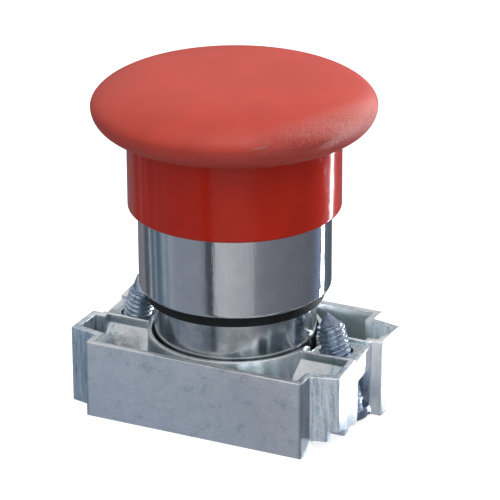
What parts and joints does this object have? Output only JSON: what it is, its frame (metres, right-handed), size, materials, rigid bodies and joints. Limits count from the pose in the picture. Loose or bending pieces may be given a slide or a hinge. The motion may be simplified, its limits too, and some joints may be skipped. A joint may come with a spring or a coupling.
{
  "type": "emergency stop push-button operator",
  "caption": "Red mushroom-head stop button with a chromed bezel and barrel, a rubber panel gasket and a cast mounting collar with pointed clamp screws.",
  "frame": {"origin": "centre of the mounting collar's underside, on the button's axis", "axes": "+Z out of the panel along the button's axis, +X along the collar from clamp screw to clamp screw, +Y across the collar"},
  "size_m": [0.0408, 0.0386, 0.0478],
  "materials": {
    "red_satin": "satin red moulding with fine scuffs",
    "red_gloss": "glossy deep red moulding",
    "chrome_plate": "bright chrome plating with fine smears",
    "cast_zinc": "die-cast zinc, passivated, mottled",
    "screw_zinc": "bright blue zinc plate",
    "spring_steel": "drawn spring steel, lightly oiled",
    "brass": "turned and knurled brass",
    "black_rubber": "matte black nitrile rubber",
    "black_plastic": "moulded black polyamide",
    "white_plastic": "natural acetal"
  },
  "bodies": {
    "collar": {"mounting_collar": "cast_zinc"},
    "screw_right": {"clamp_screw_right": "screw_zinc"},
    "screw_left": {"clamp_screw_left": "screw_zinc"},
    "head": {"barrel": "chrome_plate", "bezel_ring": "chrome_plate", "panel_gasket": "black_rubber", "guide_bush": "black_plastic", "stem_seal": "black_rubber", "seal_retainer": "screw_zinc", "return_spring": "spring_steel", "latch_housing": "black_plastic", "latch_spring": "spring_steel"},
    "plunger": {"mushroom_cap": "red_satin", "skirt_sleeve": "red_gloss", "cap_insert": "brass", "stem_nut": "screw_zinc", "stem_washer": "screw_zinc", "spring_cup": "screw_zinc", "plunger_stem": "spring_steel", "plunger_foot": "white_plastic", "foot_clip": "spring_steel"}
  },
  "joints": [
    {"name": "head_turn", "type": "hinge", "parent": "collar", "child": "head", "pos_m": [0, 0, 0.011], "axis": [0, 0, 1], "range_deg": [0, 45]},
    {"name": "head_press", "type": "slide", "parent": "head", "child": "plunger", "axis": [0, 0, -1], "range_m": [0, 0.0055], "deforming": ["return_spring"]},
    {"name": "clamp_screw_right_travel", "type": "slide", "parent": "collar", "child": "screw_right", "axis": [-0.2588, 0, 0.9659], "range_m": [-0.0045, 0]},
    {"name": "clamp_screw_left_travel", "type": "slide", "parent": "collar", "child": "screw_left", "axis": [0.2588, 0, 0.9659], "range_m": [-0.0045, 0]}
  ]
}
